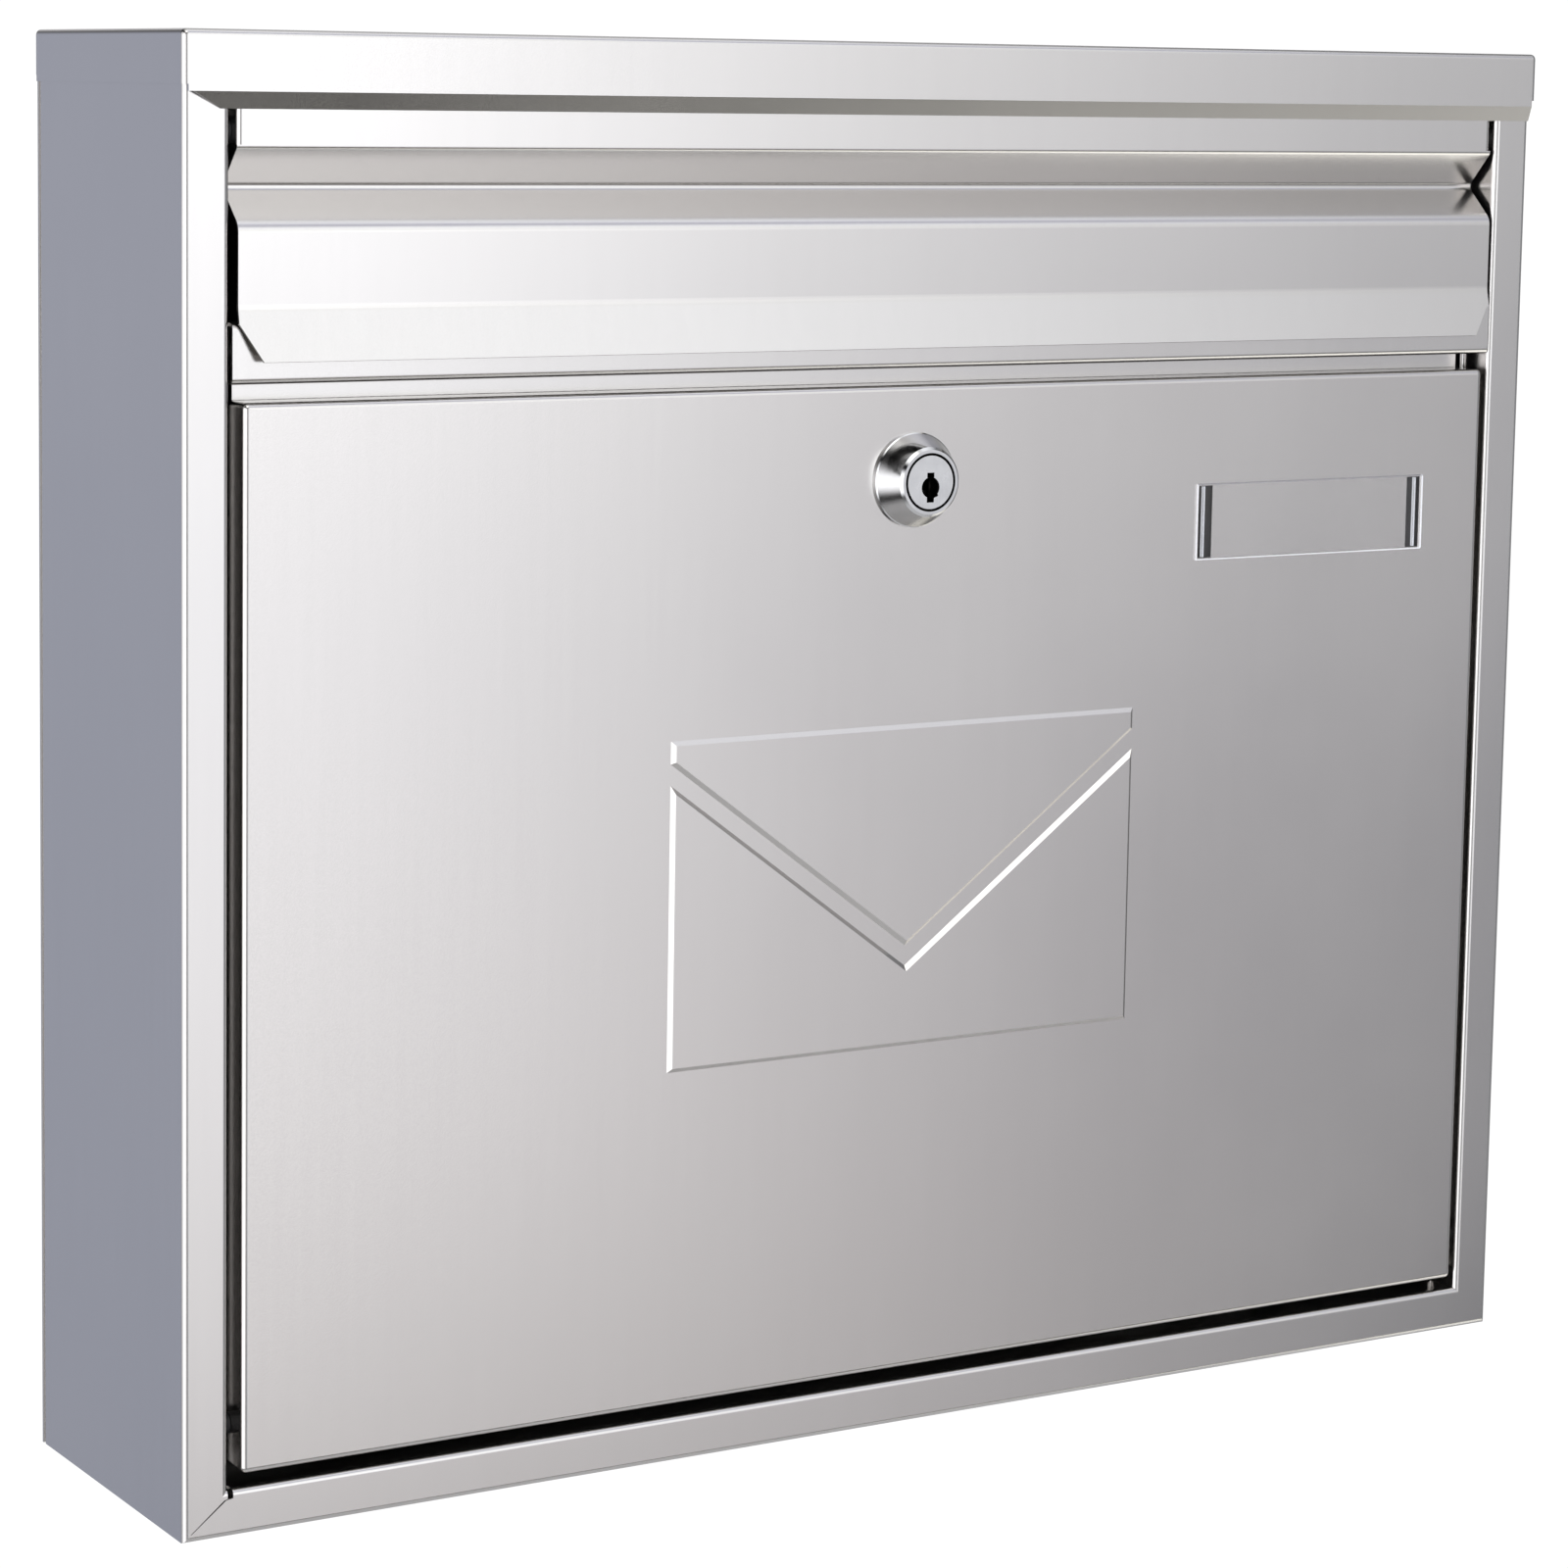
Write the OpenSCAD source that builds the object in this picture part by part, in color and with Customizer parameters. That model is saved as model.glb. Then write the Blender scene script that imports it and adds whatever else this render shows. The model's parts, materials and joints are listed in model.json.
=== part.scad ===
// Wall-mounted sheet-steel letter box: an outward-opening mail flap under a
// capped roof, and a bottom-hinged door with a cam lock and a name window.
// Frame: millimetres, +Z up, +X to the right seen from the front, +Y to the wall.
// The origin is the middle of the rear face, where the box meets the wall.

/* [Housing] */
// Width over the folded side walls
body_w = 361.2; // [331.2:1:391.2]
// Height from the floor to the top of the roof
body_h = 322; // [302:1:342]
// Depth from the front frame to the wall
body_d = 80; // [74:1:110]
// Thickness of the sheet steel
sheet_t = 0.7; // [0.6:0.05:0.7]
// Outer radius of every fold
bend_r = 1.3; // [1.2:0.1:1.6]
// Width of the front frame at the left and right
stile_w = 10.5; // [9:0.5:12]
// Height of the front frame at the bottom
sill_h = 10.4; // [9:0.2:10.4]
// Depth of the folded return behind the front frame
return_d = 10; // [10:0.5:14]

/* [Roof] */
// Height of the roof's front skirt
front_skirt_h = 12.8; // [12:0.2:14]
// Height of the roof's side skirts
side_skirt_h = 11.4; // [10:0.2:12]
// Drop of the drip lip under the front skirt
lip_drop = 3.6; // [3:0.1:3.8]
// How far the roof stands proud of the front frame
roof_proud = 1.5; // [1.4:0.1:1.6]

/* [Mail flap] */
// Depth of the pressed finger groove
groove_d = 7.7; // [6:0.1:8]
// Side gap between the flap and the front frame
flap_gap = 1.6; // [1.4:0.1:2]
// How far the flap's lower edge kicks forward
flap_kick = 2.3; // [1.8:0.1:2.6]

/* [Door] */
// Side gap between the door and the front frame
door_gap = 2.7; // [2.3:0.1:3.2]
// How far the door stands proud of the front frame
door_proud = 1.3; // [1:0.1:1.4]
// Width of the embossed envelope
envelope_w = 126.6; // [90:0.2:140]
// Height of the embossed envelope
envelope_h = 75.4; // [60:0.1:90]
// Rise of the embossing above the door
emboss_rise = 0.8; // [0.4:0.1:0.9]
// Distance of the name window's middle from the door's middle
name_x = 114.9; // [100:0.1:120]

/* [Lock] */
// Diameter of the lock's bezel where it meets the door
bezel_d = 21.8; // [21:0.1:24]
// Diameter of the plug's face
plug_face_d = 12.2; // [12:0.1:12.8]
// Length of the cam from the lock's axis to its tip
cam_len = 19.8; // [19:0.1:20]

/* [Wall fixing] */
// Horizontal distance between the wall screw holes
hole_span_x = 250; // [200:5:290]
// Vertical distance between the wall screw holes
hole_span_z = 200; // [150:5:240]
// Diameter of the wall screw holes
hole_d = 7; // [5:0.5:9]

/* [Hidden] */
$fn = 64;
steel = "silver";
eps = 0.01;
t = sheet_t;
r_mid = bend_r - t / 2;
fold_step = 5;

// Main planes of the housing
front_y = -body_d;
base_z = -body_h / 2;
top_z = body_h / 2;
half_w = body_w / 2;
open_x = half_w - stile_w;
hem = 0.9;
fold_tab = 12;
seam = 0.05;
wall_top = top_z - t - seam;
top_bevel = bend_r - t - seam;

// Roof planes
roof_half_w = half_w + t + seam;
roof_front_y = front_y - roof_proud;
rear_skirt_h = 10;
lip_gap = 0.1;
lip_edge_t = 0.2;
lip_bevel = 7.8;

// Mail flap profile, heights measured down from the top of the roof
flap_half_w = open_x - flap_gap;
strip_top_z = top_z - 13;
groove_top_z = top_z - 24.3;
apex_z = groove_top_z - groove_d - 0.7;
groove_low_z = apex_z - groove_d - 0.2;
kick_z = top_z - 57.8;
flap_low_z = top_z - 69;
plate_out = 0.7;
corner_cut = [5, 8];
ear_d = 11;
flap_pin_y = front_y + 5.5;
flap_pin_z = top_z - 20.8;

// Cross rail profile
rail_half_w = open_x - 0.5;
rail_top_z = top_z - 60.8;
rail_low_z = top_z - 73.7;
rail_out = 0.3;
leg_y = front_y + 7.6;
leg_low_z = rail_low_z - 11.8;
rail_back = 8.5;
rivet_y = front_y + 5.5;
rivet_z = (rail_top_z + rail_low_z) / 2;

// Door planes
door_half_w = open_x - door_gap;
door_y = front_y - door_proud;
door_top_z = rail_low_z - 3.8;
door_low_z = base_z + sill_h + 3.4;
door_h = door_top_z - door_low_z;
leg_half_w = door_half_w - t - 0.5;
flange_d = 12;
top_flange_d = 8;
door_pin_y = front_y + 6.8;
door_pin_z = base_z + 23.1;

// Embossed envelope
envelope_z = door_low_z + 77.2;
fold_drop = 5.2;
apex_drop = envelope_h * 0.687;
channel = 4.75;
emboss_slope = 1;

// Name window
name_z = door_top_z - 34.6;
slot_w = 4;
slot_h = 17.3;
window_half_w = 29.7;
window_h = 18.3;
window_t = 0.6;
leg_inset = 2.2;
plate_over = 0.6;
leg_foot = 3;

// Pins and rivets
pin_r = 1.5;
run = 0.05;
head_t = 1;
head_over = 1.3;
rivet_r = 1.6;
flap_spacer_r = 2.8;
door_spacer_r = 2.3;

// Cam lock
lock_z = door_top_z - 21.7;
lock_out = 6.9;
barrel_r = 8;
barrel_flat = 7;
barrel_back_y = front_y + 8.4;
bezel_nose_r = 8;
nose_bevel = 0.6;
rim_t = 0.7;
rim_bevel = [0.25, 0.25];
plug_r = 5.5;
plug_face_depth = 2;
cam_y = front_y + 9.5;
cam_t = 2;
cam_w = 12;
square_end = 7;
plug_gap = 0.6;
key_slot = [1.9, 6.8];
key_drop = 1.2;
key_bore_r = 2.4;
key_bore_depth = 2.2;
key_ward = [2.4, 1, 4];
key_depth = 13;
wafer_count = 5;
wafer_pitch = 1.7;
wafer_t = 0.8;
wafer_w = 6.4;
wafer_h = 7.4;

// ---- Folded sheet ----------------------------------------------------------

function unit(v) = v / norm(v);
function turn(a, b) = atan2(a.x * b.y - a.y * b.x, a * b);
function heading(p, i) = unit(p[i + 1] - p[i]);
function fold_reach(p, i) =
    (i == 0 || i == len(p) - 1) ? 0
    : r_mid * tan(abs(turn(heading(p, i - 1), heading(p, i))) / 2);

// Sheet with square folds along the mid-plane outline p (x, y points), h tall along Z
module folded(p, h) {
    for (i = [0:len(p) - 2]) {
        d = heading(p, i);
        start = p[i] + d * fold_reach(p, i);
        flat = norm(p[i + 1] - p[i]) - fold_reach(p, i) - fold_reach(p, i + 1);
        translate(start) rotate(atan2(d.y, d.x)) translate([0, -t / 2, 0]) cube([flat, t, h]);
    }
    for (i = [1:len(p) - 2]) fold_arc(p[i], heading(p, i - 1), heading(p, i), h);
}

// The round part of one fold, from direction d1 to direction d2 at corner v
module fold_arc(v, d1, d2, h) {
    bend = turn(d1, d2);
    side = bend > 0 ? 1 : -1;
    start = v - d1 * r_mid * tan(abs(bend) / 2);
    normal = [-d1.y, d1.x] * side;
    centre = start + normal * r_mid;
    first = atan2(-normal.y, -normal.x) + (side > 0 ? 0 : bend);
    translate(centre) rotate(first) rotate_extrude(angle = abs(bend))
        translate([r_mid - t / 2, 0]) square([t, h]);
}

// The same, with the outline in (y, z) and the length w centred along X
module folded_along_x(p, w) {
    translate([-w / 2, 0, 0]) rotate([90, 0, 90]) folded(p, w);
}

// Points round the fold at corner i of outline p, off to the left of the mid-plane
function fold_points(p, i, r, off) =
    let(d1 = heading(p, i - 1), bend = turn(d1, heading(p, i)), side = bend > 0 ? 1 : -1,
        normal = [-d1.y, d1.x] * side, centre = p[i] - d1 * r * tan(abs(bend) / 2) + normal * r,
        first = atan2(-normal.y, -normal.x), steps = ceil(abs(bend) / fold_step))
    [for (k = [0:steps]) let(a = first + bend * k / steps)
        centre + (r - side * off) * [cos(a), sin(a)]];

// One face of a sheet that is bent along outline p, with fold radius r[i] at corner i
function face_points(p, r, off) =
    let(last = len(p) - 1, d0 = heading(p, 0), d1 = heading(p, last - 1))
    concat([p[0] + off * [-d0.y, d0.x]],
        [for (i = [1:last - 1]) for (v = fold_points(p, i, r[i], off)) v],
        [p[last] + off * [-d1.y, d1.x]]);

// Sheet with folds at any angle, outline in (y, z), length w centred along X
module bent_along_x(p, r, w) {
    left = face_points(p, r, t / 2);
    right = face_points(p, r, -t / 2);
    back = [for (i = [len(right) - 1:-1:0]) right[i]];
    translate([-w / 2, 0, 0]) rotate([90, 0, 90]) linear_extrude(w) polygon(concat(left, back));
}

// Rounded pressed tray, open below: w by d over its skirts, top face at z = 0.
// skirts = heights of the [front (-Y), rear, left, right] skirts
module tray(w, d, skirts) {
    flat = [w - 2 * bend_r, d - 2 * bend_r];
    translate([-flat.x / 2, -flat.y / 2, -t]) cube([flat.x, flat.y, t]);
    for (i = [0, 1]) rotate(180 * i) tray_side(flat.x, d, skirts[i]);
    for (i = [0, 1]) rotate(180 * i + 270) tray_side(flat.y, w, skirts[2 + i]);
    for (sx = [-1, 1], sy = [-1, 1])
        tray_corner([sx * flat.x / 2, sy * flat.y / 2], atan2(sy, sx) - 45,
            min(skirts[sy < 0 ? 0 : 1], skirts[sx < 0 ? 2 : 3]));
}

// One skirt with its fold, facing -Y at distance reach / 2 from the middle
module tray_side(length, reach, skirt) {
    translate([-length / 2, -reach / 2, -skirt]) cube([length, t, skirt - bend_r]);
    translate([length / 2, bend_r - reach / 2, -bend_r]) rotate([0, -90, 0])
        rotate([0, 0, 270]) rotate_extrude(angle = 90) translate([bend_r - t, 0]) square([t, length]);
}

// The round corner between two skirts
module tray_corner(at, angle, skirt) {
    translate([at.x, at.y, -bend_r]) rotate(angle) rotate_extrude(angle = 90) {
        intersection() {
            difference() { circle(bend_r); circle(bend_r - t); }
            square(bend_r);
        }
        translate([bend_r - t, bend_r - skirt]) square([t, skirt - bend_r]);
    }
}

// ---- Housing ---------------------------------------------------------------

// A side wall with its rear tab, front stile and hemmed return; side = -1 or 1
module side_wall(side) {
    wall = half_w - t / 2;
    inner = open_x + t / 2;
    p = [
        [wall - fold_tab, -3 / 2 * t], [wall, -3 / 2 * t], [wall, front_y + t / 2],
        [inner, front_y + t / 2], [inner, front_y + return_d - t / 2],
        [inner - hem - t / 2, front_y + return_d - t / 2]];
    translate([0, 0, base_z]) mirror([side < 0 ? 1 : 0, 0, 0]) folded(p, wall_top - base_z);
}

// The floor with its rear tab, front sill and return
module floor_pan() {
    low = base_z + t / 2;
    high = base_z + sill_h - t / 2;
    p = [
        [-3 / 2 * t, low + fold_tab], [-3 / 2 * t, low], [front_y + t / 2, low],
        [front_y + t / 2, high], [front_y + return_d - t / 2, high]];
    folded_along_x(p, body_w);
}

// Everything above the 45 degree mitre lines at the two lower corners
module above_mitre() {
    reach = half_w + 1;
    translate([0, 1, 0]) rotate([90, 0, 0]) linear_extrude(body_d + 2)
        polygon([[-reach, base_z - 1], [-half_w + 20, base_z + 20], [half_w - 20, base_z + 20],
            [reach, base_z - 1], [reach, top_z], [-reach, top_z]]);
}

// The open left mitre: a slit that widens towards a relief notch at the inner corner
module open_mitre() {
    notch = [1.2, 1.9];
    inner = [stile_w, sill_h];
    slit = [
        [1.9, 1.8], [inner.x - 0.5, inner.y - notch.y - 0.3], [inner.x + notch.x, inner.y - notch.y],
        [inner.x + notch.x, inner.y + 1], [inner.x - 0.1, inner.y + 1],
        [inner.x - 0.1, inner.y - notch.y], [inner.x - 0.9, inner.y - notch.y - 0.2], [1.8, 1.9]];
    translate([-half_w, front_y + 3, base_z]) rotate([90, 0, 0]) linear_extrude(4) polygon(slit);
}

module roof_tab(side) {
    depth = body_d - return_d - 6;
    inner = half_w - t;
    translate([side > 0 ? inner - fold_tab : -inner, front_y + return_d + 3, wall_top - t])
        cube([fold_tab, depth, t]);
}

// Takes the wall's upper edges off where the roof's folds come round them
module top_bevels() {
    square_side = top_bevel * sqrt(2);
    for (side = [-1, 1]) translate([side * half_w, front_y / 2, wall_top]) rotate([0, 45, 0])
        cube([square_side, body_d + 2, square_side], center = true);
    translate([0, -t, wall_top]) rotate([45, 0, 0])
        cube([body_w + 2, square_side, square_side], center = true);
}

module pin_hole(side, y, z, r) {
    translate([side * (open_x + t / 2), y, z]) rotate([0, 90, 0]) cylinder(h = 3 * t, r = r, center = true);
}

module housing_shell() {
    color(steel) difference() {
        union() {
            for (side = [-1, 1]) {
                intersection() { side_wall(side); above_mitre(); }
                roof_tab(side);
            }
            difference() { floor_pan(); above_mitre(); }
        }
        open_mitre();
        top_bevels();
        for (side = [-1, 1]) {
            pin_hole(side, flap_pin_y, flap_pin_z, pin_r);
            pin_hole(side, door_pin_y, door_pin_z, pin_r);
            pin_hole(side, rivet_y, rivet_z, rivet_r);
        }
    }
}

module rear_panel() {
    high = top_z - rear_skirt_h - 0.2;
    color(steel) difference() {
        translate([-half_w, -t, base_z]) cube([body_w, t, high - base_z]);
        for (sx = [-1, 1], sz = [-1, 1])
            translate([sx * hole_span_x / 2, 0, sz * hole_span_z / 2]) rotate([90, 0, 0])
                cylinder(h = 4 * t, d = hole_d, center = true);
    }
}

// The lip below the front skirt leans back to the frame, where it thins to an edge.
// Its left end is mitred
module drip_lip() {
    z0 = top_z - front_skirt_h;
    y0 = roof_front_y;
    end = roof_half_w - bend_r;
    back = front_y - lip_gap;
    lean = [[y0, z0 + eps], [y0 + t, z0 + eps], [back, z0 - lip_drop / 2], [back, z0 - lip_drop],
        [back - lip_edge_t, z0 - lip_drop]];
    intersection() {
        translate([-roof_half_w, 0, 0]) rotate([90, 0, 90]) linear_extrude(2 * roof_half_w) polygon(lean);
        translate([0, y0 + 5, 0]) rotate([90, 0, 0]) linear_extrude(10)
            polygon([[-end, z0 + 1], [-end + 1.2, z0], [-end + lip_bevel, z0 - lip_drop],
                [-end + lip_bevel, z0 - lip_drop - 1], [end, z0 - lip_drop - 1], [end, z0 + 1]]);
    }
}

module roof_cover() {
    depth = -roof_front_y;
    color(steel) {
        translate([0, roof_front_y / 2, top_z])
            tray(2 * roof_half_w, depth, [front_skirt_h, rear_skirt_h, side_skirt_h, side_skirt_h]);
        drip_lip();
    }
}

module cross_rail() {
    face = front_y - rail_out + t / 2;
    p = [
        [front_y + rail_back, rail_top_z - t / 2], [face, rail_top_z - t / 2],
        [face, rail_low_z + t / 2], [leg_y + t / 2, rail_low_z + t / 2], [leg_y + t / 2, leg_low_z]];
    color(steel) difference() {
        union() {
            folded_along_x(p, 2 * rail_half_w);
            for (side = [-1, 1])
                translate([side > 0 ? open_x - t : -open_x, front_y + 2, rail_low_z + t])
                    cube([t, 6.5, rail_top_z - rail_low_z - t]);
        }
        for (side = [-1, 1]) {
            translate([side > 0 ? leg_half_w : -leg_half_w - 10, front_y + 2, leg_low_z - 1])
                cube([10, 10, rail_low_z - leg_low_z + 1]);
            pin_hole(side, rivet_y, rivet_z, rivet_r);
        }
    }
}

// ---- Pins, rivets and spacers ----------------------------------------------

// A pin along X with two heads, from distance inner_x of the middle to behind the frame's return
module headed_pin(side, y, z, inner_x, r) {
    outer_x = open_x + t;
    translate([0, y, z]) rotate([0, 90 * side, 0]) {
        translate([0, 0, inner_x]) cylinder(h = outer_x + head_t - inner_x, r = r);
        translate([0, 0, inner_x - head_t]) cylinder(h = head_t, r = r + head_over);
        translate([0, 0, outer_x]) cylinder(h = head_t, r = r + head_over);
    }
}

module rail_rivets() {
    color("gainsboro") for (side = [-1, 1])
        headed_pin(side, rivet_y, rivet_z, open_x - t, rivet_r);
}

module flap_pin(side) {
    color("gainsboro") headed_pin(side, flap_pin_y, flap_pin_z, flap_half_w - t - 0.2, pin_r);
}

module flap_pin_left() { flap_pin(-1); }

module flap_pin_right() { flap_pin(1); }

module door_pin(side) {
    color("gainsboro") headed_pin(side, door_pin_y, door_pin_z, door_half_w - t - 0.2, pin_r);
}

module door_pin_left() { door_pin(-1); }

module door_pin_right() { door_pin(1); }

// A pair of washers that fill the gap between a moving flange and the frame
module spacer_pair(y, z, inner_x, r) {
    play = 0.1;
    for (side = [-1, 1]) translate([0, y, z]) rotate([0, 90 * side, 0])
        translate([0, 0, inner_x + play]) difference() {
            cylinder(h = open_x - inner_x - 2 * play, r = r);
            translate([0, 0, -1]) cylinder(h = open_x - inner_x + 2, r = pin_r + run);
        }
}

module flap_spacers() { color("dimgray") spacer_pair(flap_pin_y, flap_pin_z, flap_half_w, flap_spacer_r); }

module door_spacers() { color("dimgray") spacer_pair(door_pin_y, door_pin_z, door_half_w, door_spacer_r); }

// ---- Mail flap -------------------------------------------------------------

module flap_ear(side) {
    outer = flap_half_w - t / 2;
    low = groove_top_z + 0.5;
    p = [[outer - 4, front_y + t / 2], [outer, front_y + t / 2], [outer, front_y + ear_d]];
    translate([0, 0, low]) mirror([side < 0 ? 1 : 0, 0, 0]) folded(p, strip_top_z - low);
}

module mail_flap() {
    y0 = front_y + t / 2;
    p = [
        [y0, strip_top_z], [y0, groove_top_z], [y0 + groove_d, apex_z],
        [y0 - plate_out, groove_low_z], [y0 - plate_out, kick_z],
        [y0 - plate_out - flap_kick, flap_low_z]];
    radii = [0, r_mid, 1.8, 3.2, 8, 0];
    ear_notch = bend_r;
    color(steel) difference() {
        union() {
            difference() {
                bent_along_x(p, radii, 2 * flap_half_w);
                for (side = [-1, 1])
                    translate([side > 0 ? flap_half_w - ear_notch : -flap_half_w - 1, front_y - 1,
                        groove_top_z + 0.5]) cube([ear_notch + 1, 4, 30]);
            }
            for (side = [-1, 1]) flap_ear(side);
        }
        for (side = [-1, 1]) {
            translate([side * flap_half_w, front_y - 10, flap_low_z]) rotate([-90, 0, 0])
                linear_extrude(20) polygon([[side, 1], [-side * corner_cut.x, 1],
                    [-side * corner_cut.x, 0], [0, -corner_cut.y], [side, -corner_cut.y]]);
            translate([side * flap_half_w, flap_pin_y, flap_pin_z]) rotate([0, 90, 0])
                cylinder(h = 4, r = pin_r + run, center = true);
        }
    }
}

// ---- Door ------------------------------------------------------------------

// Corners of outline p moved inwards by d; p runs anticlockwise
function inset(p, d) = [for (i = [0:len(p) - 1])
    let(a = unit(p[i] - p[(i + len(p) - 1) % len(p)]), b = unit(p[(i + 1) % len(p)] - p[i]),
        na = [-a.y, a.x], nb = [-b.y, b.x])
    p[i] + d * (na + nb) / (1 + na * nb)];

// Raised panel with sloping sides on the front face. Its outline p is seen from the
// front, z up, and starts at a corner that sees all the others
module pressed(p, rise, slope) {
    q = inset(p, slope);
    n = len(p);
    points = concat([for (v = p) [v.x, 0, v.y]], [for (v = q) [v.x, -rise, v.y]]);
    back = [for (i = [1:n - 2]) [0, i, i + 1]];
    front = [for (i = [1:n - 2]) [n, n + i + 1, n + i]];
    sides = [for (i = [0:n - 1]) [i, n + i, n + (i + 1) % n, (i + 1) % n]];
    polyhedron(points, concat(back, sides, front));
}

// The envelope's flap and its body, parted by a V-shaped channel
envelope_flap = [
    [0, -apex_drop], [envelope_w / 2, -fold_drop], [envelope_w / 2, 0],
    [-envelope_w / 2, 0], [-envelope_w / 2, -fold_drop]];
envelope_body = [
    [0, -apex_drop - channel], [-envelope_w / 2, -fold_drop - channel],
    [-envelope_w / 2, -envelope_h], [envelope_w / 2, -envelope_h],
    [envelope_w / 2, -fold_drop - channel]];

module envelope(extra) {
    translate([0, door_y, envelope_z + envelope_h]) {
        translate([0, extra, 0]) pressed(envelope_flap, emboss_rise + extra, emboss_slope);
        translate([0, extra, 0]) pressed(envelope_body, emboss_rise + extra, emboss_slope);
    }
}

module door_panel() {
    color(steel) difference() {
        union() {
            translate([0, door_y, (door_top_z + door_low_z) / 2]) rotate([90, 0, 0])
                tray(2 * door_half_w, door_h, [flange_d, top_flange_d, flange_d, flange_d]);
            envelope(0);
        }
        translate([0, t, 0]) envelope(0);
        on_lock(door_y - 1) barrel(3, 0.1);
        for (side = [-1, 1]) {
            translate([name_x + side * (window_half_w + slot_w / 2), door_y, name_z])
                cube([slot_w, 4, slot_h], center = true);
            translate([side * door_half_w, door_pin_y, door_pin_z]) rotate([0, 90, 0])
                cylinder(h = 4, r = pin_r + run, center = true);
        }
    }
}

// Clear window: its plate covers the slots, and two legs go in through them and hook behind the door
module name_window() {
    plate_half_w = window_half_w + slot_w + plate_over;
    leg_x = window_half_w + leg_inset;
    leg_h = slot_h - 0.4;
    color("lightcyan", 0.5) translate([name_x, door_y, name_z]) {
        translate([-plate_half_w, -window_t, -window_h / 2])
            cube([2 * plate_half_w, window_t - eps, window_h]);
        for (side = [0, 1]) mirror([side, 0, 0]) translate([leg_x, -window_t, -leg_h / 2]) {
            cube([window_t, t + 2 * window_t + 0.1, leg_h]);
            translate([-leg_foot, t + window_t + 0.1, 0]) cube([leg_foot, window_t, leg_h]);
        }
    }
}

// ---- Cam lock --------------------------------------------------------------

// The lock's double-D barrel, length long, grown by gap
module barrel(length, gap) {
    intersection() {
        cylinder(h = length, r = barrel_r + gap);
        translate([-barrel_flat - gap, -20, 0]) cube([2 * (barrel_flat + gap), 40, length]);
    }
}

// Places a shape on the lock's axis: its +Z points into the box
module on_lock(y) {
    translate([0, y, lock_z]) rotate([-90, 0, 0]) children();
}

module lock_housing() {
    face_depth = plug_face_depth + 0.2;
    length = barrel_back_y - door_y;
    color("gainsboro") on_lock(door_y) difference() {
        union() {
            barrel(length, 0);
            rotate_extrude() polygon([[0, 0], [0, -lock_out], [bezel_nose_r - nose_bevel, -lock_out],
                [bezel_nose_r, nose_bevel - lock_out], [bezel_d / 2 - rim_bevel.x, -rim_t - rim_bevel.y],
                [bezel_d / 2, -rim_t], [bezel_d / 2, 0]]);
        }
        translate([0, 0, -lock_out - 1]) cylinder(h = face_depth + 1, r = plug_face_d / 2 + plug_gap);
        translate([0, 0, -lock_out]) cylinder(h = length + lock_out + 1, r = plug_r + run);
    }
}

module lock_washer() {
    color("gainsboro") on_lock(door_y + t) difference() {
        cylinder(h = 0.8, r = 11.5);
        translate([0, 0, -1]) cylinder(h = 3, r = barrel_r + 0.1);
    }
}

module lock_nut() {
    color("gainsboro") on_lock(door_y + t + 0.8) difference() {
        cylinder(h = 3.5, r = 12.5, $fn = 6);
        translate([0, 0, -1]) cylinder(h = 6, r = barrel_r + 0.05);
    }
}

module lock_plug() {
    face_y = door_y - lock_out;
    body_end = cam_y - face_y;
    color("gainsboro") on_lock(face_y) difference() {
        union() {
            cylinder(h = plug_face_depth, r = plug_face_d / 2);
            cylinder(h = body_end, r = plug_r);
            translate([0, 0, body_end + cam_t / 2]) cube([square_end, square_end, cam_t], center = true);
        }
        keyway();
        for (i = [0:wafer_count - 1]) translate([0, 0, wafer_z(i)]) {
            cube([wafer_w + 0.2, wafer_h + 0.4, wafer_t + 0.1], center = true);
            translate([0, -wafer_h / 2, 0]) cube([1, 2.4, wafer_t + 0.1], center = true);
        }
        translate([0, 0, body_end - 3]) cylinder(h = 6, r = 1.5);
    }
}

// The key's slot with its round bore and side ward, cut in from the plug's face below the axis
module keyway() {
    translate([0, key_drop, 0]) {
        translate([0, 0, key_depth / 2 - 1]) cube([key_slot.x, key_slot.y, key_depth + 2], center = true);
        translate([0, 0, -1]) cylinder(h = key_bore_depth + 1, r = key_bore_r);
        translate([0.8, 1.9, 0]) rotate(-20) cube(key_ward, center = true);
    }
}

function wafer_z(i) = 3.6 + i * wafer_pitch;

module plug_wafers() {
    color("goldenrod") on_lock(door_y - lock_out) for (i = [0:wafer_count - 1])
        translate([0, 0, wafer_z(i)]) difference() {
            cube([wafer_w, wafer_h, wafer_t], center = true);
            translate([0, (i % 3 - 1) * 0.4, 0]) cube([2.4, 5.2, 2 * wafer_t], center = true);
        }
}

module wafer_springs() {
    color("gainsboro") on_lock(door_y - lock_out) for (i = [0:wafer_count - 1])
        translate([0, -wafer_h / 2 - 0.5, wafer_z(i)]) cube([0.8, 0.9, 0.7], center = true);
}

// The cam points to the left when the lock is open, and up when it is locked
module lock_cam() {
    color("gainsboro") on_lock(cam_y) difference() {
        union() {
            cylinder(h = cam_t, r = cam_w / 2);
            translate([-cam_len, -cam_w / 2, 0]) cube([cam_len, cam_w, cam_t]);
        }
        translate([0, 0, cam_t / 2]) cube([square_end + 0.05, square_end + 0.05, 2 * cam_t], center = true);
    }
}

module cam_washer() {
    color("gainsboro") on_lock(cam_y + cam_t) difference() {
        cylinder(h = 0.8, r = 5);
        translate([0, 0, -1]) cylinder(h = 3, r = 1.6);
    }
}

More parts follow.
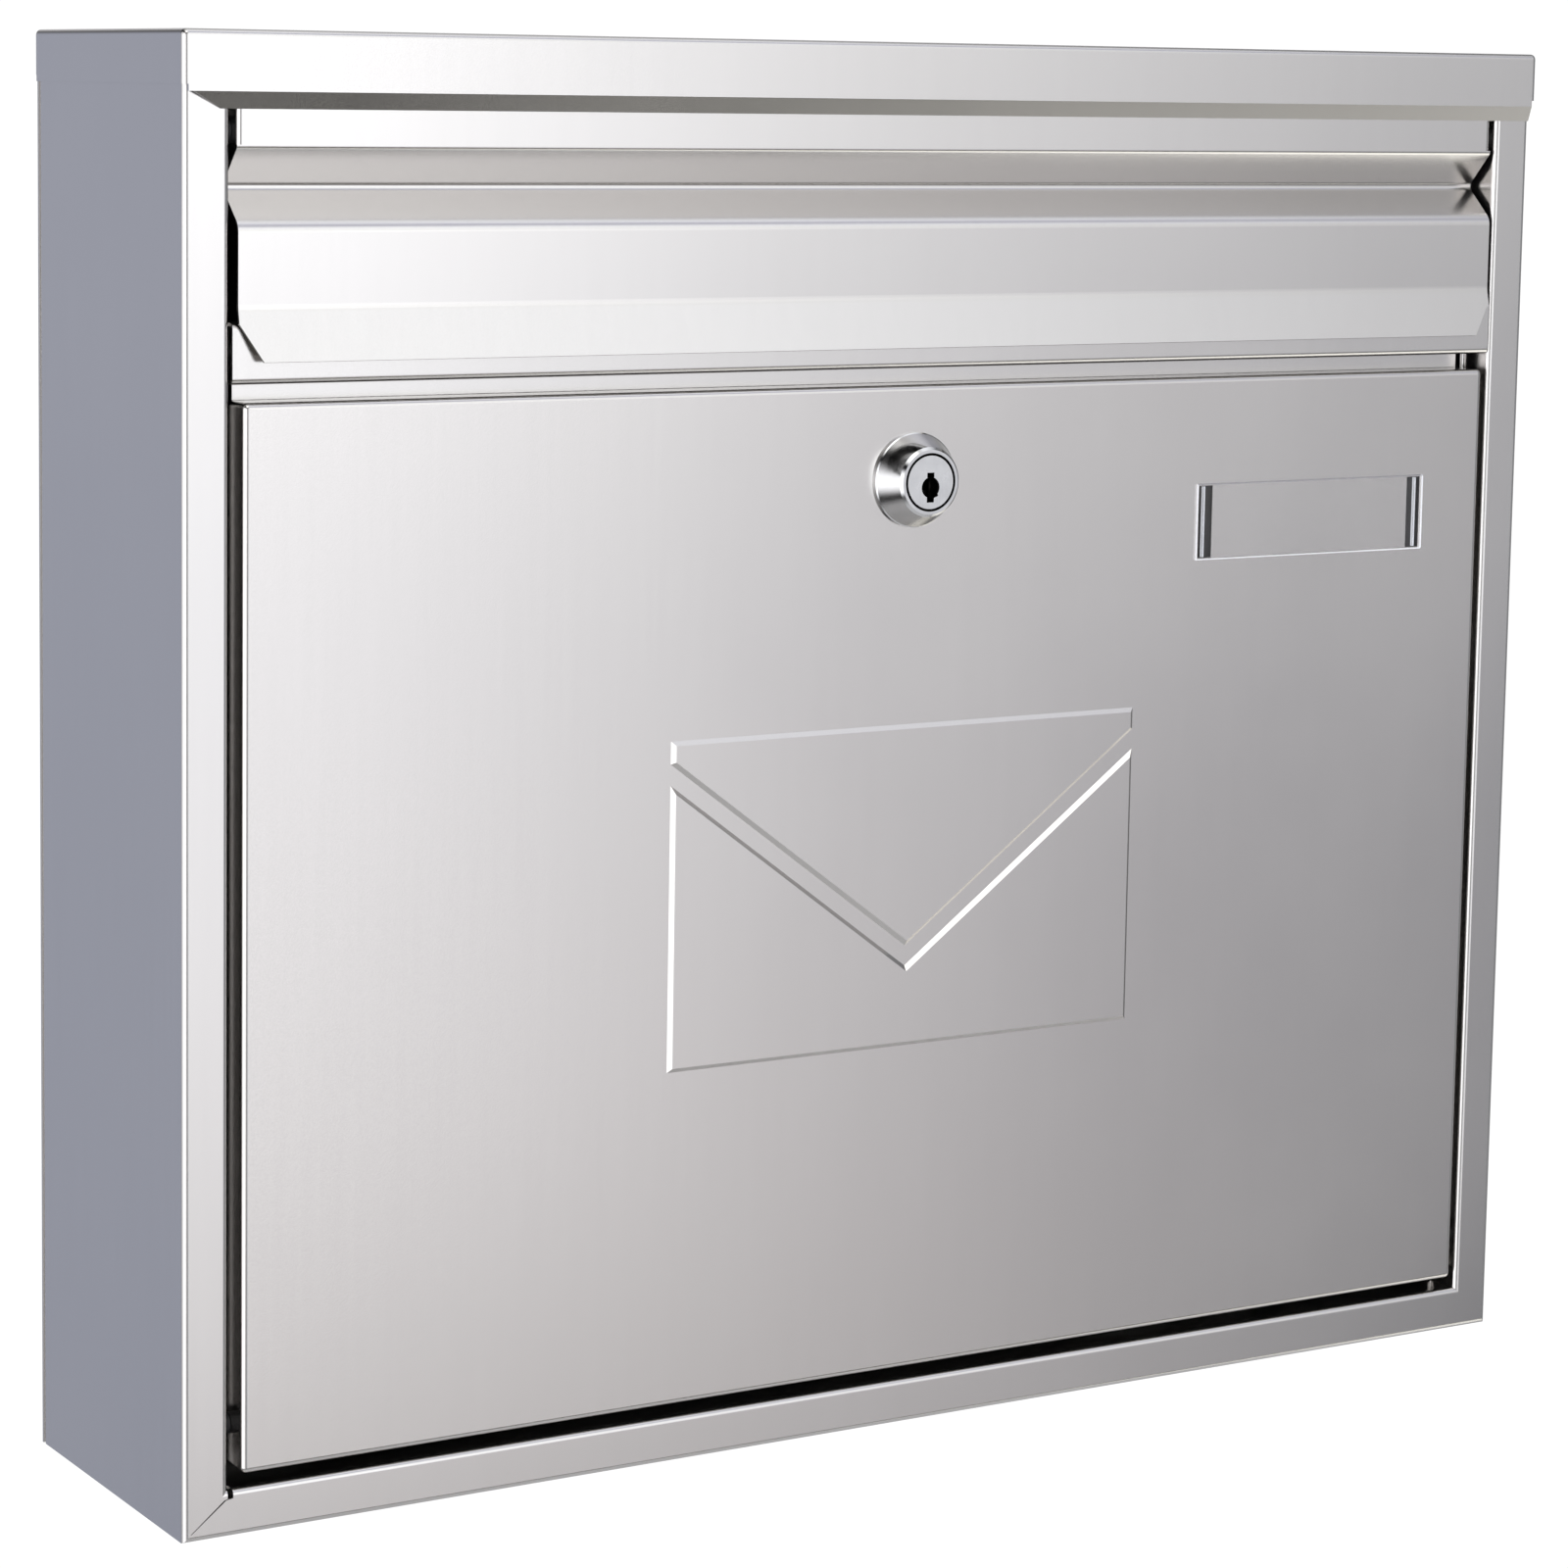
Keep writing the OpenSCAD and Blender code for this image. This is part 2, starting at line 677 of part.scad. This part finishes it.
module cam_screw() {
    color("gainsboro") on_lock(cam_y + cam_t + 0.8) difference() {
        union() {
            cylinder(h = 2, r = 3.4);
            translate([0, 0, -cam_t - 0.8 - 2.5]) cylinder(h = 6, r = 1.5);
        }
        translate([0, 0, 1.6]) cube([5, 1, 1], center = true);
        translate([0, 0, 1.6]) cube([1, 5, 1], center = true);
    }
}

housing_shell();
rear_panel();
roof_cover();
cross_rail();
rail_rivets();
flap_pin_left();
flap_pin_right();
flap_spacers();
door_pin_left();
door_pin_right();
door_spacers();
mail_flap();
door_panel();
name_window();
lock_housing();
lock_washer();
lock_nut();
lock_plug();
plug_wafers();
wafer_springs();
lock_cam();
cam_washer();
cam_screw();
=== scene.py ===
"""Studio scene for the wall letter box: materials, detail pieces, floor, light and camera.

Everything is in metres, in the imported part's own frame: +Z is up, the front faces -Y, and the wall
face is at Y = 0.
"""
import json
import math

import bmesh
import bpy
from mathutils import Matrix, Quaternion, Vector


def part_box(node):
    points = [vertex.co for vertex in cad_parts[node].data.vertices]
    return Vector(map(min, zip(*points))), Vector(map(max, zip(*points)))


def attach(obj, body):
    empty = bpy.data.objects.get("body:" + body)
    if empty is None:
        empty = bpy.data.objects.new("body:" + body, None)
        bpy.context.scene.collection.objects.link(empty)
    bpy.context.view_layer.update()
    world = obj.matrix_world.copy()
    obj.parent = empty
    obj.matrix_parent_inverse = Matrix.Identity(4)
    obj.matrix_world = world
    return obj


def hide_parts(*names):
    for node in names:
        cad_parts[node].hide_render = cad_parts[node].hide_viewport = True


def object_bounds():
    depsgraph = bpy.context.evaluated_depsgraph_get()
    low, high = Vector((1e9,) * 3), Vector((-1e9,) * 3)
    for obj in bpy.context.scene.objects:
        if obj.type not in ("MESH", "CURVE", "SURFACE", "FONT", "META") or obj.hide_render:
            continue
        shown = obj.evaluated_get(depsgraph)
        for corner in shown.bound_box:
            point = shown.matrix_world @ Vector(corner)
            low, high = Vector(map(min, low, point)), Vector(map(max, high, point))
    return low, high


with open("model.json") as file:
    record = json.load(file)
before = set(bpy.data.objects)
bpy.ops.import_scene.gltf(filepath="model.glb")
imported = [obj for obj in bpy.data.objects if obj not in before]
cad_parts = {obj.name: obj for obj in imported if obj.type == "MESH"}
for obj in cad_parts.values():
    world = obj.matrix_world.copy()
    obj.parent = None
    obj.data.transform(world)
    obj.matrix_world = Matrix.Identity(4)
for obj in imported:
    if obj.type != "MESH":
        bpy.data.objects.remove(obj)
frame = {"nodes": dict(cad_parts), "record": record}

CAD_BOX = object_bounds()
NODES = frame["nodes"]


# ---- Node helpers ------------------------------------------------------------

# Painted shade: the near black painted into the lock's bores and slots, where shade falls.
PAINTED_BORE_SHADE = (0.012, 0.011, 0.01, 1)


class Shader:
    """A material's node tree, with short calls for the nodes used here."""

    def __init__(self, name):
        self.mat = bpy.data.materials.new(name)
        self.mat.use_nodes = True
        self.tree = self.mat.node_tree
        self.bsdf = self.tree.nodes["Principled BSDF"]
        self.coords = self.add("ShaderNodeTexCoord").outputs["Object"]

    def add(self, kind, **values):
        node = self.tree.nodes.new(kind)
        for key, value in values.items():
            setattr(node, key, value)
        return node

    def link(self, out, socket):
        self.tree.links.new(out, socket)

    def set(self, **values):
        for key, value in values.items():
            self.bsdf.inputs[key.replace("_", " ")].default_value = value

    def noise(self, scale, detail=2.0, stretch=(1, 1, 1)):
        mapping = self.add("ShaderNodeMapping")
        mapping.inputs["Scale"].default_value = stretch
        self.link(self.coords, mapping.inputs["Vector"])
        node = self.add("ShaderNodeTexNoise")
        node.inputs["Scale"].default_value = scale
        node.inputs["Detail"].default_value = detail
        self.link(mapping.outputs["Vector"], node.inputs["Vector"])
        return node.outputs["Fac"]

    def spread(self, value, low, high, at=(0.3, 0.7)):
        """Maps a noise value from the range at to low..high."""
        node = self.add("ShaderNodeMapRange")
        node.inputs["From Min"].default_value = at[0]
        node.inputs["From Max"].default_value = at[1]
        node.inputs["To Min"].default_value = low
        node.inputs["To Max"].default_value = high
        self.link(value, node.inputs["Value"])
        return node.outputs["Result"]

    def maths(self, operation, a, b):
        node = self.add("ShaderNodeMath", operation=operation)
        for socket, value in zip(node.inputs, (a, b)):
            if isinstance(value, (int, float)):
                socket.default_value = value
            else:
                self.link(value, socket)
        return node.outputs[0]

    def tint(self, value, dark, light):
        """A colour between dark and light, by value 0..1."""
        ramp = self.add("ShaderNodeValToRGB")
        ramp.color_ramp.elements[0].color = (*dark, 1)
        ramp.color_ramp.elements[1].color = (*light, 1)
        self.link(value, ramp.inputs["Fac"])
        return ramp.outputs["Color"]

    def paint_bore_shade(self, colour, mouth, radius, unshaded_depth):
        """The colour with painted shade: nearly black in the bore of this radius that goes in along +Y
        from mouth.

        The first stretch of the bore, as deep as the last argument, keeps the colour, and the painted
        shade fades in deeper.
        """
        offset = self.add("ShaderNodeVectorMath", operation="SUBTRACT")
        self.link(self.coords, offset.inputs[0])
        offset.inputs[1].default_value = mouth
        split = self.add("ShaderNodeSeparateXYZ")
        self.link(offset.outputs["Vector"], split.inputs["Vector"])
        across = self.maths("MULTIPLY", split.outputs["X"], split.outputs["X"])
        up = self.maths("MULTIPLY", split.outputs["Z"], split.outputs["Z"])
        inside = self.maths("LESS_THAN", self.maths("ADD", across, up), radius * radius)
        deep = self.spread(split.outputs["Y"], 0, 1, at=(unshaded_depth, 4 * unshaded_depth))
        mix = self.add("ShaderNodeMix", data_type="RGBA")
        self.link(self.maths("MULTIPLY", inside, deep), mix.inputs["Factor"])
        self.link(colour, mix.inputs["A"])
        mix.inputs["B"].default_value = PAINTED_BORE_SHADE
        return mix.outputs["Result"]

    def bump(self, height, strength, distance):
        node = self.add("ShaderNodeBump")
        node.inputs["Strength"].default_value = strength
        node.inputs["Distance"].default_value = distance
        self.link(height, node.inputs["Height"])
        self.link(node.outputs["Normal"], self.bsdf.inputs["Normal"])


# ---- Materials ---------------------------------------------------------------

GRAIN_DEPTH = 0.00002


def scaled(colour, factor):
    return tuple(factor * c for c in colour)


def satin_steel(name, tone, rough=0.21, warmth=0.03):
    """Blasted stainless sheet: a fine grain, faint rolling lines and slow stains."""
    s = Shader(name)
    stains = s.noise(9.0, detail=3.0)
    grain = s.noise(4200.0, detail=1.5)
    rolled = s.noise(420.0, stretch=(1.0, 1.0, 0.04))
    mixed = s.maths("ADD", s.maths("MULTIPLY", stains, 0.75), s.maths("MULTIPLY", rolled, 0.25))
    light = (tone * (1 + warmth), tone, tone * (1 - warmth))
    s.link(s.tint(s.spread(mixed, 0, 1), scaled(light, 0.95), light), s.bsdf.inputs["Base Color"])
    swing = 0.03
    stained = s.spread(stains, rough - swing, rough + swing)
    grainy = s.spread(grain, -swing, swing)
    s.link(s.maths("ADD", stained, grainy), s.bsdf.inputs["Roughness"])
    s.set(Metallic=1.0)
    s.bump(grain, 0.22, GRAIN_DEPTH)
    return s.mat


def chrome(name, tone, rough, rings=0.0, bore_shade=None):
    """Bright plated metal with fine scratches; rings makes them deeper, as on a machined face.

    The last argument, (mouth, radius, unshaded depth), paints shade into a bore along +Y, where the metal
    goes nearly black.
    """
    s = Shader(name)
    smear = s.noise(260.0, detail=3.0)
    scratch = s.noise(1500.0, stretch=(1.0, 1.0, 0.15))
    light = (tone, tone, tone)
    colour = s.tint(s.spread(smear, 0, 1), scaled(light, 0.9), light)
    # Painted shade in the bore, when it is asked for.
    if bore_shade:
        colour = s.paint_bore_shade(colour, *bore_shade)
    s.link(colour, s.bsdf.inputs["Base Color"])
    s.link(s.spread(smear, rough, rough + 0.07), s.bsdf.inputs["Roughness"])
    s.set(Metallic=1.0)
    s.bump(scratch, 0.12 + rings, GRAIN_DEPTH)
    return s.mat


def moulded(name, colour):
    """Dull moulded plastic with a fine spark-eroded texture."""
    s = Shader(name)
    fine = s.noise(3000.0)
    s.link(s.tint(s.spread(fine, 0, 1), scaled(colour, 0.8), colour), s.bsdf.inputs["Base Color"])
    s.link(s.spread(fine, 0.44, 0.58), s.bsdf.inputs["Roughness"])
    s.bump(fine, 0.3, 0.00003)
    return s.mat


def clear_plastic(name, shade, rough, cover, glow=0.0):
    """Clear moulded plastic, slightly wavy and scuffed.

    cover is the share that it hides of what is behind it, and glow is painted light: an emission that
    stands in for the light that it pipes to a cut edge.
    """
    s = Shader(name)
    wave = s.noise(70.0, detail=1.0)
    scuff = s.noise(900.0, detail=3.0)
    s.link(s.tint(s.spread(scuff, 0, 1), scaled(shade, 0.94), shade), s.bsdf.inputs["Base Color"])
    s.link(s.spread(scuff, rough, rough + 0.08), s.bsdf.inputs["Roughness"])
    s.link(s.spread(wave, 0.9 * cover, 1.1 * cover), s.bsdf.inputs["Alpha"])
    s.set(IOR=1.49, Emission_Color=(0.92, 0.95, 1.0, 1), Emission_Strength=glow)
    s.bump(wave, 0.2, 0.0002)
    return s.mat


LOCK_LOW, LOCK_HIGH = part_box("lock_housing")
LOCK_MOUTH = ((LOCK_LOW.x + LOCK_HIGH.x) / 2, LOCK_LOW.y, (LOCK_LOW.z + LOCK_HIGH.z) / 2)
# Painted shade: the bezel's bore, the plug's key slot and the wafers' slot are painted nearly black a
# little way in.
BEZEL_BORE_SHADE = (LOCK_MOUTH, 0.0069, 0.0003)
PLUG_SLOT_SHADE = (LOCK_MOUTH, 0.0058, 0.0002)
WAFER_SLOT_SHADE = (LOCK_MOUTH, 0.006, 0.0002)

MATERIALS = {
    "body_steel": satin_steel("body_steel", 0.60),
    "rear_steel": satin_steel("rear_steel", 0.52, rough=0.36),
    "roof_steel": satin_steel("roof_steel", 0.60),
    "rail_steel": satin_steel("rail_steel", 0.60),
    "flap_steel": satin_steel("flap_steel", 0.61),
    "door_steel": satin_steel("door_steel", 0.59, warmth=0.036),
    "pin_steel": chrome("pin_steel", 0.5, rough=0.25),
    "lock_chrome": chrome("lock_chrome", 0.68, rough=0.07, bore_shade=BEZEL_BORE_SHADE),
    "plug_chrome": chrome("plug_chrome", 0.64, rough=0.22, rings=0.1, bore_shade=PLUG_SLOT_SHADE),
    "wafer_brass": chrome("wafer_brass", 0.4, rough=0.3, bore_shade=WAFER_SLOT_SHADE),
    "nylon": moulded("nylon", (0.03, 0.03, 0.032)),
    "clear_plastic": clear_plastic("clear_plastic", (0.95, 0.95, 0.97), 0.05, 0.02),
}
# Painted light and shade on the name window's edges: a brighter copy that also glows by emission though
# it is no lamp, and a darker copy for painted shade.
EDGE_PLASTIC = {
    "painted_light": clear_plastic("plastic_painted_light_edge", (0.95, 0.96, 1.0), 0.14, 0.75, glow=0.38),
    "painted_shade": clear_plastic("plastic_painted_shade_edge", (0.35, 0.35, 0.40), 0.2, 0.35),
}


def dress_cad_nodes():
    """Gives every carried-over CAD node the material of its slot."""
    for part in frame["record"]["subparts"]:
        mesh = NODES[part["node"]].data
        mesh.materials.clear()
        mesh.materials.append(MATERIALS[part["material_slot"]])


# ---- Detail pieces -----------------------------------------------------------

def new_piece(name, bm, materials, body, node):
    """A finished mesh piece in metres that stands for a CAD node and rides on its body."""
    mesh = bpy.data.meshes.new(name)
    bmesh.ops.recalc_face_normals(bm, faces=bm.faces)
    bm.to_mesh(mesh)
    bm.free()
    for material in materials:
        mesh.materials.append(material)
    piece = bpy.data.objects.new(name, mesh)
    bpy.context.scene.collection.objects.link(piece)
    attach(piece, body)
    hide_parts(node)


def sweep(bm, rings, kinds, ends):
    """Joins rings of equal length into a closed bar; kinds[k] holds its faces' materials after ring k."""
    rows = [[bm.verts.new(v) for v in ring] for ring in rings]
    count = len(rows[0])
    for near, far, kind in zip(rows, rows[1:], kinds):
        for i in range(count):
            face = bm.faces.new((near[i], near[(i + 1) % count], far[(i + 1) % count], far[i]))
            face.material_index = kind[i]
    for row in (rows[0], rows[-1]):
        bm.faces.new(row).material_index = ends


def rounded(points, radius, steps=6):
    """The 2-D path through points, with a curve of about this radius at each corner."""
    path = [Vector(points[0])]
    for before, corner, after in zip(points, points[1:], points[2:]):
        corner = Vector(corner)
        a, b = (Vector(before) - corner).normalized(), (Vector(after) - corner).normalized()
        reach = radius / math.tan(a.angle(b) / 2)
        start, end = corner + a * reach, corner + b * reach
        for k in range(steps + 1):
            u = k / steps
            path.append((1 - u) ** 2 * start + 2 * u * (1 - u) * corner + u * u * end)
    path.append(Vector(points[-1]))
    return path


def name_window():
    """Clear plate with chamfered long edges over the door's two slots, with a hooked leg in each."""
    low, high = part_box("name_window")
    middle = (low + high) / 2
    half_w, half_h, depth = (high.x - low.x) / 2, (high.z - low.z) / 2, high.y - low.y
    t = 0.0006
    chamfer = 0.00034
    leg_x = half_w - 0.0021
    leg_half_h = half_h - 0.0007
    foot = 0.0030
    bend_radius = 0.0005
    # Slots 0, 1, 2: the clear plastic; the brighter glowing copy, painted light on the lower edge, the
    # plate's ends and the legs' front ends; and the darker copy, painted shade on the upper edge.
    clear, painted_light, painted_shade = 0, 1, 2
    bm = bmesh.new()
    section = [(t, -half_h), (chamfer, -half_h), (0, chamfer - half_h),
        (0, half_h - chamfer), (chamfer, half_h), (t, half_h)]
    rings = [[(middle.x + x, low.y + y, middle.z + z) for y, z in section] for x in (-half_w, half_w)]
    sweep(bm, rings, [[painted_light, painted_light, clear, painted_shade, painted_shade, clear]], ends=painted_light)
    for side in (-1, 1):
        path = rounded([(leg_x, t), (leg_x, depth - t / 2), (leg_x - foot, depth - t / 2)], bend_radius)
        rings = []
        for i, at in enumerate(path):
            ahead = (path[min(i + 1, len(path) - 1)] - path[max(i - 1, 0)]).normalized()
            out = Vector((ahead.y, -ahead.x)) * t / 2
            a, b = at + out, at - out
            rings.append([(middle.x + side * v.x, low.y + v.y, middle.z + z)
                for v, z in ((a, -leg_half_h), (a, leg_half_h), (b, leg_half_h), (b, -leg_half_h))])
        sweep(bm, rings, [[painted_light] * 4] + [[clear] * 4] * (len(rings) - 2), ends=clear)
    plastics = [MATERIALS["clear_plastic"], EDGE_PLASTIC["painted_light"], EDGE_PLASTIC["painted_shade"]]
    new_piece("name_window_strip", bm, plastics, "door", "name_window")


# ---- Stage -------------------------------------------------------------------

FLOOR_DROP = 0.30
FLOOR_RADIUS = 0.62
PAPER_STRENGTH = 1.05


def make_floor():
    """A round pale floor below the hung box and its open door, that fades out towards its rim."""
    s = Shader("floor_paint")
    soft = s.noise(3.0)
    paint = s.tint(s.spread(soft, 0, 1), (0.86, 0.86, 0.86), (0.9, 0.9, 0.9))
    s.link(paint, s.bsdf.inputs["Base Color"])
    s.set(Roughness=0.8)
    reach = s.add("ShaderNodeVectorMath", operation="LENGTH")
    s.link(s.coords, reach.inputs[0])
    fade = s.spread(reach.outputs["Value"], 1.0, 0.0, at=(0.6 * FLOOR_RADIUS, FLOOR_RADIUS))
    s.link(fade, s.bsdf.inputs["Alpha"])
    mesh = bpy.data.meshes.new("floor")
    bm = bmesh.new()
    bmesh.ops.create_circle(bm, cap_ends=True, segments=96, radius=FLOOR_RADIUS)
    bm.to_mesh(mesh)
    bm.free()
    mesh.materials.append(s.mat)
    floor = bpy.data.objects.new("floor", mesh)
    floor.location = (0, 0, CAD_BOX[0].z - FLOOR_DROP)
    bpy.context.scene.collection.objects.link(floor)


def studio_world(base, lights):
    """The camera sees white paper, and the object sees a base grey plus wide soft lights.

    Each light is (azimuth, elevation, inner, outer, colour): full strength within inner degrees of its
    direction, and none beyond outer. Azimuth 0 is along -Y, in front of the box, and 90 along +X.
    """
    world = bpy.data.worlds.new("studio")
    world.use_nodes = True
    tree = world.node_tree
    background = tree.nodes["Background"]
    direction = tree.nodes.new("ShaderNodeTexCoord").outputs["Generated"]
    total = None
    for azimuth, elevation, inner, outer, colour in lights:
        a, e = math.radians(azimuth), math.radians(elevation)
        aim = Vector((math.sin(a) * math.cos(e), -math.cos(a) * math.cos(e), math.sin(e)))
        dot = tree.nodes.new("ShaderNodeVectorMath")
        dot.operation = "DOT_PRODUCT"
        dot.inputs[1].default_value = aim
        tree.links.new(direction, dot.inputs[0])
        fade = tree.nodes.new("ShaderNodeMapRange")
        fade.interpolation_type = "SMOOTHSTEP"
        fade.inputs["From Min"].default_value = math.cos(math.radians(outer))
        fade.inputs["From Max"].default_value = math.cos(math.radians(inner))
        tree.links.new(dot.outputs["Value"], fade.inputs["Value"])
        glow = tree.nodes.new("ShaderNodeVectorMath")
        glow.operation = "SCALE"
        glow.inputs[0].default_value = colour
        tree.links.new(fade.outputs["Result"], glow.inputs["Scale"])
        add = tree.nodes.new("ShaderNodeVectorMath")
        add.operation = "ADD"
        tree.links.new(glow.outputs["Vector"], add.inputs[0])
        if total is None:
            add.inputs[1].default_value = base
        else:
            tree.links.new(total, add.inputs[1])
        total = add.outputs["Vector"]
    tree.links.new(total, background.inputs["Color"])
    paper = tree.nodes.new("ShaderNodeBackground")
    paper.inputs["Color"].default_value = (1, 1, 1, 1)
    paper.inputs["Strength"].default_value = PAPER_STRENGTH
    pick = tree.nodes.new("ShaderNodeMixShader")
    tree.links.new(tree.nodes.new("ShaderNodeLightPath").outputs["Is Camera Ray"], pick.inputs["Fac"])
    tree.links.new(background.outputs["Background"], pick.inputs[1])
    tree.links.new(paper.outputs["Background"], pick.inputs[2])
    tree.links.new(pick.outputs["Shader"], tree.nodes["World Output"].inputs["Surface"])
    bpy.context.scene.world = world


def make_camera():
    """The main view: from the front left, a little above the middle of the box."""
    place = Vector((-0.54127, -0.90378, 0.15126))
    azimuth, elevation, roll = 30.26, -6.79, -0.79
    a, e = math.radians(azimuth), math.radians(elevation)
    forward = Vector((math.sin(a) * math.cos(e), math.cos(a) * math.cos(e), math.sin(e)))
    data = bpy.data.cameras.new("camera")
    data.sensor_width = 36.0
    data.lens = 99.112
    data.shift_x = 0.0661
    data.shift_y = -0.1196
    data.clip_start = 0.01
    camera = bpy.data.objects.new("camera", data)
    camera.location = place
    camera.rotation_mode = "QUATERNION"
    spin = Quaternion(forward, math.radians(roll))
    camera.rotation_quaternion = spin @ forward.to_track_quat("-Z", "Y")
    bpy.context.scene.collection.objects.link(camera)
    bpy.context.scene.camera = camera


STUDIO_BASE = (0.02, 0.02, 0.021)
STUDIO_LIGHTS = [
    # Front: the flat faces of the door, the frame and the flap
    (12, -6, 0, 22, (1.02, 1.06, 1.12)),
    (24, -6, 0, 22, (0.35, 0.34, 0.36)),
    (37, -4, 0, 22, (0.30, 0.31, 0.34)),
    (26, -19, 0, 14, (0.36, 0.34, 0.33)),
    (-20, 0, 0, 28, (0.45, 0.45, 0.46)),
    # Low right: the drip lip and other undersides
    (66, -45, 0, 30, (1.75, 1.74, 1.65)),
    # Upper front: the flap's kick and groove, and the roof's bend
    (0, 14, 0, 24, (0.22, 0.22, 0.22)),
    (15, 14, 0, 24, (0.69, 0.71, 0.71)),
    (30, 14, 0, 24, (0.71, 0.72, 0.72)),
    (35, 38, 0, 30, (0.70, 0.72, 0.83)),
    (65, 60, 0, 26, (0.85, 0.87, 0.92)),
    (0, 90, 0, 40, (0.60, 0.60, 0.60)),
    # Left: the envelope's bright slopes and the folds that face left
    (-18, 53, 0, 28, (2.3, 2.3, 2.3)),
    (-58, -4, 10, 36, (2.10, 2.12, 2.20)),
    (-98, 0, 10, 40, (1.20, 1.21, 1.26)),
    (-25, -34, 0, 30, (0.40, 0.40, 0.41)),
    # Right and rear: the side walls and the back
    (88, 0, 10, 52, (0.33, 0.34, 0.36)),
    (207, -8, 0, 32, (0.43, 0.46, 0.56)),
    (207, 28, 0, 40, (0.06, 0.06, 0.07)),
    (154, 0, 12, 46, (0.80, 0.80, 0.82)),
    (150, 48, 0, 34, (0.55, 0.56, 0.58)),
]

make_camera()
dress_cad_nodes()
name_window()
make_floor()
bpy.context.scene.view_settings.view_transform = "Standard"
studio_world(STUDIO_BASE, STUDIO_LIGHTS)

bpy.context.view_layer.update()
